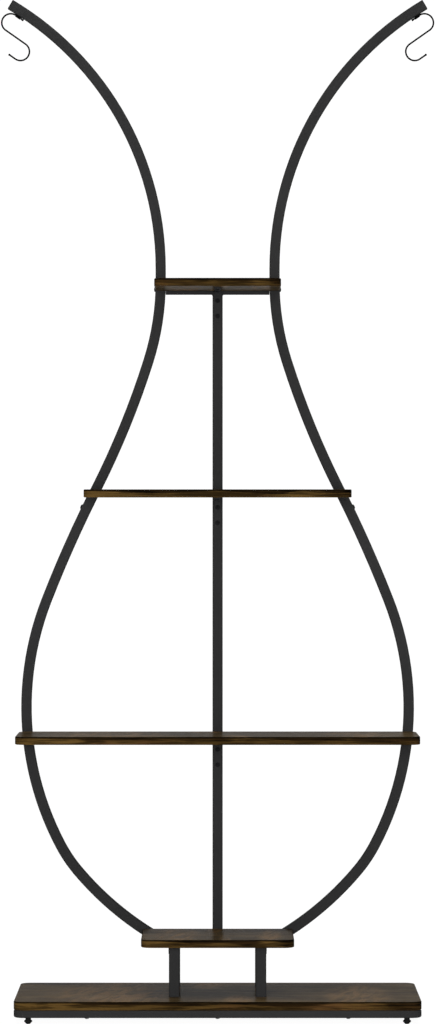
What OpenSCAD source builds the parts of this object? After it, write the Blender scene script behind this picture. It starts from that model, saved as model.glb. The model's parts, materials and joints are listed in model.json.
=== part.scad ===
// Tiered plant stand: four shelves on a vase-shaped frame of bent square tube.
// Millimetres, +Z up, front on -Y. The origin is on the floor under the middle of the base.

/* [Base] */
// Width of the base
base_w = 800; // [700:5:900]
// Depth of the base, front to back
base_d = 300; // [280:5:360]
// Thickness of the base board
base_board_t = 17; // [15:0.5:25]
// Side of the square tube under the base board
rim_tube = 15; // [14:0.5:25]
// Wall of the tube under the base board
rim_wall = 1.2; // [0.8:0.1:1.8]
// Distance from the front of the base to the front of the upright frame
frame_setback = 236; // [215:1:260]

/* [Square tube] */
// Outside width of the square tube of the upright frame, with its coat
tube_w = 20.6; // [18:0.1:24]
// Wall of that tube
tube_wall = 1.5; // [1:0.1:1.8]
// Outside corner radius of that tube
tube_corner = 2.4; // [2:0.1:3]

/* [Shelves] */
// Thickness of a shelf board
board_t = 16; // [15:0.5:22]
// Radius of the boards' corners, seen from above
board_corner = 20; // [5:1:30]
// Radius of the boards' upper and lower edges
board_edge = 2; // [0.5:0.25:4]
// Depth of the three upper shelves
shelf_d = 180; // [150:5:200]
// Depth of the lowest shelf
shelf_4_d = 200; // [180:5:210]
// Width of the lowest shelf
shelf_4_w = 302; // [270:2:340]
// How far shelf 1 reaches past the outside of the side tubes
shelf_1_over = 0; // [0:0.5:12]
// How far shelf 2 reaches past the outside of the side tubes
shelf_2_over = 3.5; // [0:0.5:12]
// How far shelf 3 reaches past the outside of the side tubes
shelf_3_over = 6.5; // [0:0.5:12]
// Height of the short legs, from the base board to the underside of shelf 4
leg_h = 101; // [80:1:140]
// Clear height from shelf 4 up to shelf 3
gap_above_4 = 382; // [360:1:410]
// Clear height from shelf 3 up to shelf 2
gap_above_3 = 472; // [450:1:500]
// Clear height from shelf 2 up to shelf 1
gap_above_2 = 401; // [380:1:430]

/* [Legs] */
// Distance from the middle of the stand to the middle of a leg
leg_x = 86; // [70:1:92]
// Distance from the front of the base to the front of the front legs
leg_setback = 75; // [55:1:100]

/* [Side tubes] */
// Half the distance between the two side tubes at the neck, middle to middle
neck_half = 115; // [105:1:130]
// Height of the neck's straight stretch above the underside of shelf 1
neck_rise = 46; // [35:1:60]
// Length of the neck's straight stretch
neck_straight = 26.8; // [10:0.1:40]
// Bend radius of the arms above the neck
arm_r = 620; // [580:2:660]
// Angle that each arm turns through, up to its open end
arm_turn = 59.3; // [50:0.1:66]
// Bend radius below the neck
neck_r = 532; // [490:2:580]
// Angle of the bend below the neck
neck_turn = 17.56; // [16:0.02:19]
// Bend radius of the long flare down to shelf 2
flare_r = 1728; // [1600:4:1840]
// Angle of the long flare
flare_turn = 9.28; // [8:0.02:10.4]
// Bend radius of the shoulder, where the tube turns the other way
shoulder_r = 2536; // [2400:4:2700]
// Angle of the shoulder
shoulder_turn = 5.55; // [5:0.01:6]
// Bend radius of the belly, the widest part of the frame
belly_r = 596; // [570:2:620]
// Angle of the belly
belly_turn = 49.14; // [47:0.02:51]
// Bend radius of the tighter bend below the belly
tuck_r = 292; // [270:2:320]
// Angle of the tighter bend
tuck_turn = 12.17; // [11:0.01:13.2]
// Bend radius of the last stretch, which runs in to the lower crossbar
foot_r = 616; // [580:2:660]

/* [Joints of the frame] */
// Height of the tubes' seam above the underside of shelf 2, which hides it
seam_rise = 4; // [3:0.25:5]
// Distance from the underside of shelf 2 down to the side tubes' bolt
joint_bolt_drop = 23; // [18:1:30]
// Length of each inner sleeve above the seam
sleeve_up = 50; // [35:1:80]
// Length of each inner sleeve below the seam
sleeve_down = 70; // [66:1:95]
// Length of each leg of the bent connectors at the lower crossbar
connector_leg = 40; // [30:1:50]
// How far the neck crossbar hangs below the underside of shelf 1
neck_bar_drop = 7; // [5:0.5:10]
// Distance from the middle of the neck crossbar to each screw into shelf 1
neck_screw_x = 65; // [40:1:75]

/* [Shelf brackets] */
// Width of the bracket strip
bracket_w = 13; // [12.5:0.5:17]
// Thickness of the bracket strip
bracket_t = 3; // [2:0.25:4]
// Inside radius of the bracket's bend
bracket_bend = 2; // [1:0.25:4]
// Length of the bracket's leg down the post
bracket_drop = 62; // [60:1:75]
// Distance from the front edge of a shelf back to its bracket's end
bracket_setback = 38; // [20:1:60]
// Distance from a shelf's underside down to the upper bolt
bracket_bolt_z = 20; // [16:0.5:23]
// Distance between the two bolts
bracket_bolt_pitch = 31; // [26:0.5:33]

/* [Levelling feet] */
// Height of the underside of the base above the floor
foot_h = 15; // [14:0.5:20]
// Distance from the end of the base to the middle of a foot
foot_in_x = 28; // [26:0.5:36]
// Distance from the front or back of the base to the middle of a foot
foot_in_y = 30; // [26:0.5:36]
// Diameter of the stud's thread
stud_d = 8; // [6:0.5:9]
// How far a foot screws out
foot_travel = 10; // [5:0.5:12]
// Largest diameter of the pad
pad_d = 16.4; // [15:0.2:20]
// Diameter of the pad's flat tip on the floor
pad_tip_d = 7; // [5:0.2:9]

/* [Hooks] */
// Diameter of the hook wire
wire_d = 3.5; // [2.8:0.1:3.6]
// Radius of the hook's two bends, to the middle of the wire
hook_r = 18.2; // [14:0.2:22]
// Length of the straight upper end that lies under the arm
hook_top = 16.5; // [15:0.5:24]
// Length of the straight middle of the hook
hook_mid = 49.5; // [44:0.5:60]
// Length of the straight lower end
hook_tip = 14.5; // [10:0.5:20]
// Diameter of the balls on the wire's ends
hook_ball_d = 4.6; // [4.4:0.1:6]
// Distance along the arm from its open end to the hook's upper bend
hook_inset = 21; // [18:0.5:30]
// Angle between the hook's upper end and the arm above it
hook_lean = 1.7; // [0:0.1:3]
// Length of the clip that carries the hook
clip_len = 11; // [7:0.5:12]
// Thickness of the clip's walls
clip_t = 0.9; // [0.8:0.1:2]

/* [Fasteners] */
// Diameter of the frame's bolts
bolt_d = 5; // [4:0.25:5.5]
// Diameter of the frame bolts' round heads
head_d = 9.5; // [8.5:0.25:11]
// Height of the frame bolts' round heads
head_h = 2.8; // [2:0.1:3.6]
// Diameter of the wood screws
screw_d = 4; // [3:0.25:4.5]
// Depth that a wood screw reaches into a board from below
screw_bite = 11; // [8:0.5:12]
// Depth that a wood screw reaches into a board's back edge
edge_bite = 26; // [20:1:34]
// Thickness of the caps on the arms' open ends
cap_t = 1.6; // [1:0.1:3]

/* [Clearances] */
// Gap all round a piece that slides into a tube
slip_gap = 0.2; // [0.1:0.05:0.4]
// Gap round the shank of a fixed screw or bolt
hole_gap = 0.1; // [0.05:0.01:0.2]
// Gap round a part that turns in its bore
turn_gap = 0.08; // [0.05:0.01:0.1]
// Gap between moving pieces that don't guide each other
move_gap = 0.3; // [0.25:0.05:0.5]

/* [Hidden] */
$fn = 96;

steel = [0.19, 0.19, 0.19];
wood = [0.38, 0.27, 0.16];
black = [0.07, 0.07, 0.07];
zinc = [0.62, 0.63, 0.65];

// Levels, each the underside of what it names
rim_z = foot_h;
base_board_z = rim_z + rim_tube;
base_top = base_board_z + base_board_t;
shelf_4_z = base_top + leg_h;
shelf_3_z = shelf_4_z + board_t + gap_above_4;
shelf_2_z = shelf_3_z + board_t + gap_above_3;
shelf_1_z = shelf_2_z + board_t + gap_above_2;
neck_bar_z = shelf_1_z - neck_bar_drop;
lower_bar_z = shelf_4_z - tube_w;
seam_z = shelf_2_z + seam_rise;
arm_z = shelf_1_z + neck_rise;

// The upright frame's front, middle and back planes
frame_front = -base_d / 2 + frame_setback;
frame_y = frame_front + tube_w / 2;
frame_back = frame_front + tube_w;
front_leg_y = -base_d / 2 + leg_setback + tube_w / 2;

tube_in = tube_w - 2 * tube_wall;
slip_w = tube_in - 2 * slip_gap;
slip_corner = 0.8;
screw_head_d = 2 * screw_d;
screw_head_h = 0.6 * screw_d;
nut_h = 0.8 * bolt_d;
nut_d = 1.6 * bolt_d / cos(30);
plug_len = 22;
weld_gap = 0.05;
seat_gap = 0.15;
eps = 0.01;
// How far a cut reaches past the piece that it cuts
cut = 1;
// How far bolts stop short of their plugs' ends and reach past their nuts, how much deeper
// a screw's hole is than the screw, and how much wider a bend is than what it clears
bolt_short = 4;
bolt_past = 1;
hole_deeper = 1;
corner_ease = 1;
rim_corner = max(board_corner, rim_tube + corner_ease);

// A point on a side tube's middle line is [x, z, angle], where the angle turns
// outwards from straight down. Each bend starts where the last one ended.
function bend_end(p, r, turn) = [
    p[0] + r * (cos(p[2]) - cos(p[2] + turn)),
    p[1] - r * (sin(p[2] + turn) - sin(p[2])),
    p[2] + turn
];
// Angles are kept to whole thousandths of a degree, so that stretches meet face to face
function tidy_angle(a) = round(a * 1000) / 1000;
// The angle of the tube where the bend from p with radius r passes the height z
function bend_angle(p, r, z) = tidy_angle(asin(sin(p[2]) + (p[1] - z) / r));

neck_end = [neck_half, arm_z - neck_straight, 0];
flare_start = bend_end(neck_end, neck_r, neck_turn);
shoulder_start = bend_end(flare_start, flare_r, flare_turn);
belly_start = bend_end(shoulder_start, -shoulder_r, -shoulder_turn);
tuck_start = bend_end(belly_start, -belly_r, -belly_turn);
foot_start = bend_end(tuck_start, -tuck_r, -tuck_turn);
// Each bend as its start, its radius (positive turns outwards) and the height where it ends
bends = [
    [neck_end, neck_r, flare_start[1]],
    [flare_start, flare_r, shoulder_start[1]],
    [shoulder_start, -shoulder_r, belly_start[1]],
    [belly_start, -belly_r, tuck_start[1]],
    [tuck_start, -tuck_r, foot_start[1]],
    [foot_start, -foot_r, lower_bar_z]
];
function bend_at(z, i = 0) =
    i == len(bends) - 1 || z >= bends[i][2] ? bends[i] : bend_at(z, i + 1);
function side_angle(z) =
    z >= neck_end[1] ? 0 : let (b = bend_at(z)) bend_angle(b[0], b[1], z);
function side_x(z) =
    z >= neck_end[1] ? neck_half
    : let (b = bend_at(z), a = bend_angle(b[0], b[1], z)) b[0][0] + b[1] * (cos(b[0][2]) - cos(a));
// Half the width over both side tubes' outsides at a height
function side_reach(z) = side_x(z) + tube_w / 2 / cos(side_angle(z));

lower_bar_mid = lower_bar_z + tube_w / 2;
mitre_x = side_x(lower_bar_mid);
mitre_turn = (90 + side_angle(lower_bar_mid)) / 2;
shelf_1_w = 2 * (side_reach(shelf_1_z + board_t / 2) + shelf_1_over);
shelf_2_w = 2 * (side_reach(shelf_2_z + board_t / 2) + shelf_2_over);
shelf_3_w = 2 * (side_reach(shelf_3_z + board_t / 2) + shelf_3_over);
// Heights of the screws that run through the frame into the shelves' back edges
edge_screw_1_z = shelf_1_z + board_t * 0.42;
edge_screw_2_z = shelf_2_z + board_t * 0.64;
edge_screw_3_z = shelf_3_z + board_t / 2;

// Arms: the arc's centre lies outside the neck, and angles count up from the neck
arm_centre = [neck_half + arm_r, arm_z];
arm_end = tidy_angle(arm_turn - cap_t / arm_r * 180 / PI);
// Play between the hook's upper ball and the arm, past the gap of moving pieces
hook_play = 0.1;
wire_drop = hook_ball_d / 2 + move_gap + hook_play;
clip_r = arm_r - tube_w / 2 - wire_drop;
hook_turn = arm_turn - hook_inset / arm_r * 180 / PI;
hook_mid_turn = hook_turn - hook_top / 2 / arm_r * 180 / PI;

// Flat rounded rectangle, and the outline of a square tube
module round_rect(w, h, r) {
    square([w - 2 * r, h], center = true);
    square([w, h - 2 * r], center = true);
    for (x = [-1, 1], y = [-1, 1])
        translate([x * (w / 2 - r), y * (h / 2 - r)])
            circle(r);
}

module tube_outline(w, wall, r) {
    difference() {
        round_rect(w, w, r);
        square(w - 2 * wall, center = true);
    }
}

module frame_outline() {
    tube_outline(tube_w, tube_wall, tube_corner);
}

module sleeve_outline() {
    tube_outline(slip_w, tube_wall, slip_corner);
}

// Straight square tube that starts at the origin and runs up
module upright_tube(length) {
    linear_extrude(length)
        frame_outline();
}

// Moves the child to [x, z] in the frame's middle plane, in ever finer steps, because a
// long distance written as one number loses its last digits on the way to the exact solid
module place_exactly(p) {
    whole = [floor(p[0]), floor(p[1])];
    fine = [floor((p[0] - whole[0]) * 1000) / 1000, floor((p[1] - whole[1]) * 1000) / 1000];
    translate([whole[0], frame_y, whole[1]])
        translate([fine[0], 0, fine[1]])
            translate([p[0] - whole[0] - fine[0], 0, p[1] - whole[1] - fine[1]])
                children();
}

// Right side of the frame between two heights, with the outline given as the child
module along_side(top, bottom) {
    if (top > neck_end[1])
        translate([neck_half, frame_y, max(bottom, neck_end[1])])
            linear_extrude(min(top, arm_z) - max(bottom, neck_end[1]))
                children();
    for (b = bends) {
        high = min(top, b[0][1]);
        low = max(bottom, b[2]);
        if (high > low + eps) {
            a = bend_angle(b[0], b[1], high);
            c = bend_angle(b[0], b[1], low);
            half_turn = b[1] > 0 ? 180 : 0;
            place_exactly([b[0][0] + b[1] * cos(b[0][2]), b[0][1] + b[1] * sin(b[0][2])])
                rotate([90, 0, 0])
                    rotate_extrude(start = min(a, c) + half_turn, angle = abs(c - a), $fn = 360)
                        translate([abs(b[1]), 0])
                            children();
        }
    }
}

// Right arm between two angles counted up from the neck
module along_arm(from, to) {
    place_exactly(arm_centre)
        rotate([90, 0, 0])
            rotate_extrude(start = 180 - to, angle = to - from, $fn = 360)
                translate([arm_r, 0])
                    children();
}

// Puts the child on the right arm at an angle, with +X along the tube towards its open
// end and +Z away from the arc's centre
module on_arm(turn, r) {
    translate([arm_centre[0] - r * cos(turn), frame_y, arm_centre[1] + r * sin(turn)])
        rotate([0, turn - 90, 0])
            children();
}

// The left twin of a right-hand piece
module left() {
    mirror([1, 0, 0])
        children();
}

module both_sides() {
    children();
    left()
        children();
}

// Board with rounded corners and edges, its underside at the origin and centred on it
module board(w, d, t) {
    r = board_corner;
    module edge_profile() {
        translate([0, -t / 2])
            square([r - board_edge, t]);
        translate([0, -t / 2 + board_edge])
            square([r, t - 2 * board_edge]);
        for (y = [-1, 1])
            translate([r - board_edge, y * (t / 2 - board_edge)])
                circle(board_edge);
    }
    translate([0, 0, t / 2]) {
        cube([w - 2 * r, d - 2 * r, t], center = true);
        for (i = [0 : 3]) {
            long = i % 2 == 0 ? d : w;
            across = i % 2 == 0 ? w : d;
            rotate([0, 0, 90 * i]) {
                translate([across / 2 - r, long / 2 - r, 0])
                    rotate_extrude(angle = 90)
                        edge_profile();
                translate([across / 2 - r, long / 2 - r, 0])
                    rotate([90, 0, 0])
                        linear_extrude(long - 2 * r)
                            edge_profile();
            }
        }
    }
}

// Fastener with a domed head on top of z = 0 and its shank below, with a hex key socket
module button_bolt(d, length, hd = head_d, hh = head_h) {
    difference() {
        union() {
            translate([0, 0, -length])
                cylinder(d = d, h = length + hh / 2);
            intersection() {
                cylinder(d = hd, h = hh);
                translate([0, 0, hh - hd])
                    sphere(hd);
            }
        }
        translate([0, 0, hh / 2])
            cylinder(d = 0.62 * d, h = hh, $fn = 6);
    }
}

module wood_screw(length) {
    button_bolt(screw_d, length, screw_head_d, screw_head_h);
}

module hex_nut() {
    difference() {
        cylinder(d = nut_d, h = nut_h, $fn = 6);
        translate([0, 0, -cut])
            cylinder(d = bolt_d + 2 * hole_gap, h = nut_h + 2 * cut);
    }
}

// Square plug for a tube's end with a bore along it
module threaded_plug(d) {
    difference() {
        linear_extrude(plug_len)
            round_rect(slip_w, slip_w, slip_corner);
        translate([0, 0, -cut])
            cylinder(d = d + 2 * hole_gap, h = plug_len + 2 * cut);
    }
}

module shank_hole(d, length) {
    translate([0, 0, -length])
        cylinder(d = d + 2 * hole_gap, h = 2 * length);
}

// Base: a board on a rim of tube with two bars, four corner plates and four nuts
foot_x = base_w / 2 - foot_in_x;
foot_y = base_d / 2 - foot_in_y;
feet = [[-foot_x, -foot_y], [foot_x, -foot_y], [-foot_x, foot_y], [foot_x, foot_y]];
plate_t = 3;
plate_margin = 5;
// Room round a stud where it passes through without touching
stud_room = 1;
foot_nut_h = 0.8 * stud_d;
foot_nut_d = 1.625 * stud_d / cos(30);
stud_top = rim_z + plate_t + foot_nut_h + foot_travel;
leg_spots = [[-leg_x, front_leg_y], [leg_x, front_leg_y], [-leg_x, frame_y], [leg_x, frame_y]];
rim_mid_y = base_d / 2 - rim_tube / 2;
base_screw_spots = [for (x = [-0.32, 0, 0.32], y = [-1, 1]) [x * base_w, y * rim_mid_y]];
leg_bolt_len = rim_tube + base_board_t + plug_len - bolt_short;

module base_board() {
    stud_hole = max(stud_top - base_board_z, stud_room) + 2 * stud_room;
    color(wood)
        difference() {
            translate([0, 0, base_board_z])
                board(base_w, base_d, base_board_t);
            for (p = leg_spots)
                translate([p[0], p[1], base_board_z])
                    shank_hole(bolt_d, base_board_t * 2);
            for (p = base_screw_spots)
                translate([p[0], p[1], base_board_z])
                    shank_hole(screw_d, screw_bite + hole_deeper);
            for (p = feet)
                translate([p[0], p[1], base_board_z - stud_room])
                    cylinder(d = stud_d + 2 * stud_room, h = stud_hole);
        }
}

// Closed ring of tube, bent round at the corners
module base_rim() {
    r = rim_corner;
    module rim_outline() {
        tube_outline(rim_tube, rim_wall, 2 * rim_wall + corner_ease);
    }
    color(steel)
        difference() {
            translate([0, 0, rim_z + rim_tube / 2])
                for (i = [0 : 3]) {
                    long = i % 2 == 0 ? base_d : base_w;
                    across = i % 2 == 0 ? base_w : base_d;
                    rotate([0, 0, 90 * i]) {
                        translate([across / 2 - r, long / 2 - r, 0])
                            rotate_extrude(angle = 90)
                                translate([r - rim_tube / 2, 0])
                                    rim_outline();
                        translate([across / 2 - rim_tube / 2, long / 2 - r, 0])
                            rotate([90, 0, 0])
                                linear_extrude(long - 2 * r)
                                    rim_outline();
                    }
                }
            for (p = base_screw_spots)
                translate([p[0], p[1], rim_z])
                    shank_hole(screw_d, rim_tube * 2);
        }
}

module base_bar() {
    color(steel)
        difference() {
            translate([leg_x, base_d / 2 - rim_tube - weld_gap, rim_z + rim_tube / 2])
                rotate([90, 0, 0])
                    linear_extrude(base_d - 2 * rim_tube - 2 * weld_gap)
                        tube_outline(rim_tube, rim_wall, 2 * rim_wall);
            for (y = [front_leg_y, frame_y])
                translate([leg_x, y, rim_z])
                    shank_hole(bolt_d, rim_tube * 2);
        }
}

module corner_plates() {
    size_x = foot_in_x - rim_tube + stud_d + plate_margin;
    size_y = foot_in_y - rim_tube + stud_d + plate_margin;
    mid_x = base_w / 2 - rim_tube - weld_gap - size_x / 2;
    mid_y = base_d / 2 - rim_tube - weld_gap - size_y / 2;
    color(steel)
        both_sides()
            for (s = [-1, 1])
                difference() {
                    translate([mid_x, s * mid_y, rim_z])
                        linear_extrude(plate_t)
                            round_rect(size_x, size_y, rim_corner - rim_tube + corner_ease);
                    translate([foot_x, s * foot_y, rim_z])
                        cylinder(d = stud_d + 2 * stud_room, h = 3 * plate_t, center = true);
                }
}

module foot_nuts() {
    color(zinc)
        for (p = feet)
            translate([p[0], p[1], rim_z + plate_t])
                difference() {
                    cylinder(d = foot_nut_d, h = foot_nut_h, $fn = 6);
                    translate([0, 0, -cut])
                        cylinder(d = stud_d + 2 * turn_gap, h = foot_nut_h + 2 * cut);
                }
}

module base_screws() {
    color(zinc)
        for (p = base_screw_spots)
            translate([p[0], p[1], rim_z])
                mirror([0, 0, 1])
                    wood_screw(rim_tube + screw_bite);
}

module leg_bolts() {
    color(zinc)
        for (p = leg_spots)
            translate([p[0], p[1], rim_z])
                mirror([0, 0, 1])
                    button_bolt(bolt_d, leg_bolt_len);
}

// One pattern of plug closes the legs' feet, the neck crossbar's ends and the post's foot
module tube_plugs() {
    color(black) {
        for (p = concat(leg_spots, [[0, frame_y]]))
            translate([p[0], p[1], p[0] == 0 ? post_foot_z : base_top])
                threaded_plug(bolt_d);
        both_sides()
            translate([neck_bar_half - plug_len, frame_y, neck_bar_mid])
                rotate([90, 0, 90])
                    threaded_plug(bolt_d);
    }
}

// Levelling foot: a cone-bottomed pad that stays still on the floor while the stud turns in it
ball_r = 0.44 * stud_d;
ball_z = foot_h / 2;
throat_r = 0.3 * stud_d;
throat_gap = 0.5;
throat_top = ball_z + ball_r + throat_gap;
// Length of the chamfer on the stud's end, the pad's wall round the stud, and its rim's height
stud_tip = 1;
pad_wall = 1.5;
pad_lip = 1.2;
neck_d = stud_d + 2 * pad_wall;
pad_wide_z = foot_h / 3;

module foot_pad(p) {
    top = rim_z - move_gap;
    color(black)
        translate([p[0], p[1], 0])
            rotate_extrude()
                difference() {
                    polygon([
                        [0, 0], [pad_tip_d / 2, 0], [pad_d / 2, pad_wide_z],
                        [pad_d / 2, pad_wide_z + pad_lip], [neck_d / 2, pad_wide_z + 3 * pad_lip],
                        [neck_d / 2, top], [0, top]
                    ]);
                    translate([0, ball_z])
                        intersection() {
                            circle(ball_r + turn_gap);
                            translate([0, -foot_h])
                                square([foot_h, 2 * foot_h]);
                        }
                    translate([0, ball_z])
                        square([throat_r + turn_gap, foot_h]);
                    translate([0, throat_top - turn_gap])
                        square([stud_d / 2 + turn_gap, foot_h]);
                }
}

module foot_stud(p) {
    color(zinc)
        translate([p[0], p[1], 0]) {
            translate([0, 0, ball_z])
                sphere(ball_r);
            translate([0, 0, ball_z])
                cylinder(r = throat_r, h = throat_top - ball_z + stud_tip);
            translate([0, 0, throat_top])
                cylinder(d = stud_d, h = stud_top - throat_top - stud_tip);
            translate([0, 0, stud_top - stud_tip])
                cylinder(d1 = stud_d, d2 = stud_d - 1.6 * stud_tip, h = stud_tip);
        }
}

// Short legs, side rails and the lower crossbar, which carry shelf 4 and the frame
module leg(y, length) {
    color(steel)
        translate([leg_x, y, base_top])
            upright_tube(length);
}

module side_rail() {
    start = front_leg_y + tube_w / 2 + weld_gap;
    end = frame_front - weld_gap;
    color(steel)
        difference() {
            translate([leg_x, end, lower_bar_mid])
                rotate([90, 0, 0])
                    linear_extrude(end - start)
                        frame_outline();
            for (t = shelf_4_screw_steps)
                translate([leg_x, start + t * (end - start), lower_bar_z])
                    shank_hole(screw_d, tube_w * 2);
        }
}

shelf_4_screw_steps = [0.2, 0.8];

module shelf_4_screw_places() {
    start = front_leg_y + tube_w / 2 + weld_gap;
    end = frame_front - weld_gap;
    for (s = [-1, 1], t = shelf_4_screw_steps)
        translate([s * leg_x, start + t * (end - start), lower_bar_z])
            children();
}

// Cuts away one side of the mitre where the lower crossbar meets a side tube: side 1 is the
// crossbar's, side -1 the tube's, and spare moves the cut back by that much
module mitre_cut(side, spare = 0) {
    big = 4 * tube_w;
    translate([mitre_x, frame_y, lower_bar_mid])
        rotate([0, -mitre_turn, 0])
            translate([side > 0 ? -big - spare : spare, -big / 2, -big / 2])
                cube(big);
}

module lower_crossbar() {
    reach = mitre_x + tube_w / 2;
    color(steel)
        difference() {
            translate([-reach, frame_y, lower_bar_mid])
                rotate([90, 0, 90])
                    linear_extrude(2 * reach)
                        frame_outline();
            both_sides()
                mitre_cut(-1);
            translate([0, frame_y, lower_bar_z])
                shank_hole(bolt_d, tube_w * 2);
            both_sides()
                translate([mitre_x - connector_leg / 2, frame_y, lower_bar_mid])
                    rotate([-90, 0, 0])
                        shank_hole(bolt_d, tube_w);
        }
}

// Bent solid connector inside the crossbar's end and the side tube's lower end
connector_top = lower_bar_mid + connector_leg * cos(side_angle(lower_bar_mid));
connector_bolt_z = (lower_bar_mid + connector_top) / 2;
connector_spots = [
    [mitre_x - connector_leg / 2, lower_bar_mid],
    [side_x(connector_bolt_z), connector_bolt_z]
];

module corner_connector() {
    color(black)
        difference() {
            union() {
                difference() {
                    translate([mitre_x - connector_leg, frame_y, lower_bar_mid])
                        rotate([90, 0, 90])
                            linear_extrude(connector_leg + tube_w / 2)
                                round_rect(slip_w, slip_w, slip_corner);
                    mitre_cut(-1, slip_gap);
                }
                difference() {
                    along_side(connector_top, lower_bar_z + 2 * tube_wall)
                        round_rect(slip_w, slip_w, slip_corner);
                    mitre_cut(1, slip_gap);
                }
            }
            for (p = connector_spots)
                translate([p[0], frame_back, p[1]])
                    rotate([-90, 0, 0])
                        shank_hole(bolt_d, tube_w * 0.7);
        }
}

module connector_bolts() {
    color(black)
        both_sides()
            for (p = connector_spots)
                translate([p[0], frame_back, p[1]])
                    rotate([-90, 0, 0])
                        button_bolt(bolt_d, tube_w * 0.7 - hole_deeper / 2);
}

// Side tubes, parted behind shelf 2
joint_bolt_z = shelf_2_z - joint_bolt_drop;

// Puts the child on the outer face of the right side tube, with +Z pointing outwards
module on_outer_face(z) {
    translate([side_x(z), frame_y, z])
        rotate([0, 90 - side_angle(z), 0])
            translate([0, 0, tube_w / 2])
                children();
}

module edge_screw_hole(z) {
    translate([side_x(z), frame_back, z])
        rotate([-90, 0, 0])
            shank_hole(screw_d, tube_w * 2);
}

module lower_tube() {
    color(steel)
        difference() {
            along_side(seam_z, lower_bar_z + 2 * tube_wall)
                frame_outline();
            mitre_cut(1);
            on_outer_face(joint_bolt_z)
                shank_hole(bolt_d, tube_w / 2);
            edge_screw_hole(edge_screw_3_z);
            translate([connector_spots[1][0], frame_back, connector_spots[1][1]])
                rotate([-90, 0, 0])
                    shank_hole(bolt_d, tube_w / 2);
        }
}

module upper_tube() {
    mid = neck_bar_z + tube_w / 2;
    color(steel)
        difference() {
            union() {
                along_arm(0, arm_end)
                    frame_outline();
                along_side(arm_z, seam_z + weld_gap)
                    frame_outline();
            }
            translate([side_x(mid), frame_y, mid])
                rotate([0, 90, 0])
                    shank_hole(bolt_d, tube_w);
            edge_screw_hole(edge_screw_2_z);
        }
}

module joint_sleeve() {
    color(zinc)
        difference() {
            along_side(seam_z + sleeve_up, seam_z - sleeve_down)
                sleeve_outline();
            on_outer_face(joint_bolt_z)
                shank_hole(bolt_d, tube_w * 0.7);
            edge_screw_hole(edge_screw_2_z);
        }
}

module joint_bolts() {
    color(black)
        both_sides()
            on_outer_face(joint_bolt_z)
                translate([0, 0, eps])
                    button_bolt(bolt_d, 2 * tube_wall + slip_gap + nut_h + bolt_past);
}

module joint_nuts() {
    color(zinc)
        both_sides()
            on_outer_face(joint_bolt_z)
                translate([0, 0, -2 * tube_wall - slip_gap - weld_gap - nut_h])
                    hex_nut();
}

// Cap with a flange as wide as the tube and a plug inside it, which starts in the flange
module arm_cap() {
    cap_plug_len = 14;
    plug_turn = tidy_angle(cap_plug_len / arm_r * 180 / PI);
    color(black) {
        along_arm(arm_end, arm_turn)
            round_rect(tube_w, tube_w, tube_corner);
        along_arm(arm_end - plug_turn, tidy_angle((arm_end + arm_turn) / 2))
            round_rect(slip_w, slip_w, slip_corner);
    }
}

// Neck crossbar behind shelf 1, bolted from the outsides of the side tubes
neck_bar_mid = neck_bar_z + tube_w / 2;
neck_bar_half = min(side_x(neck_bar_z), side_x(neck_bar_z + tube_w)) - tube_w / 2 - weld_gap;
neck_bolt_x = side_reach(neck_bar_mid - head_d / 2) + 2 * eps;

module neck_crossbar() {
    color(steel)
        difference() {
            translate([-neck_bar_half, frame_y, neck_bar_mid])
                rotate([90, 0, 90])
                    linear_extrude(2 * neck_bar_half)
                        frame_outline();
            both_sides()
                translate([neck_screw_x, frame_back, edge_screw_1_z])
                    rotate([-90, 0, 0])
                        shank_hole(screw_d, tube_w * 2);
        }
}

module neck_bolts() {
    color(black)
        both_sides()
            translate([neck_bolt_x, frame_y, neck_bar_mid])
                rotate([0, 90, 0])
                    button_bolt(bolt_d, tube_w + plug_len - bolt_short);
}

// Centre post, parted behind shelf 2
module post_stretch(bottom, top) {
    color(steel)
        difference() {
            translate([0, frame_y, bottom])
                upright_tube(top - bottom);
            bracket_bolt_places()
                rotate([90, 0, 0])
                    shank_hole(bolt_d, tube_w / 2);
            post_screw_hole();
        }
}

module post_screw_hole() {
    translate([0, frame_back, edge_screw_2_z])
        rotate([-90, 0, 0])
            shank_hole(screw_d, tube_w * 2);
}

module bracket_bolt_places() {
    for (z = [shelf_1_z, shelf_2_z, shelf_3_z], i = [0, 1])
        translate([0, frame_front, z - bracket_bolt_z - i * bracket_bolt_pitch])
            children();
}

post_foot_z = lower_bar_z + tube_w + weld_gap;

module lower_post() {
    post_stretch(post_foot_z, seam_z);
}

module upper_post() {
    post_stretch(seam_z + weld_gap, neck_bar_z - weld_gap);
}

module post_sleeve() {
    color(zinc)
        difference() {
            translate([0, frame_y, seam_z - sleeve_down])
                linear_extrude(sleeve_down + sleeve_up)
                    sleeve_outline();
            bracket_bolt_places()
                rotate([90, 0, 0])
                    shank_hole(bolt_d, tube_w / 2);
            post_screw_hole();
        }
}

module post_bolt() {
    color(black)
        translate([0, frame_y, lower_bar_z])
            mirror([0, 0, 1])
                button_bolt(bolt_d, tube_w + plug_len - bolt_short);
}

// Bent strip under a shelf and down the front of the post
bracket_reach = shelf_d - bracket_setback;
bracket_screw_steps = [0.35, 0.85];

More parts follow.
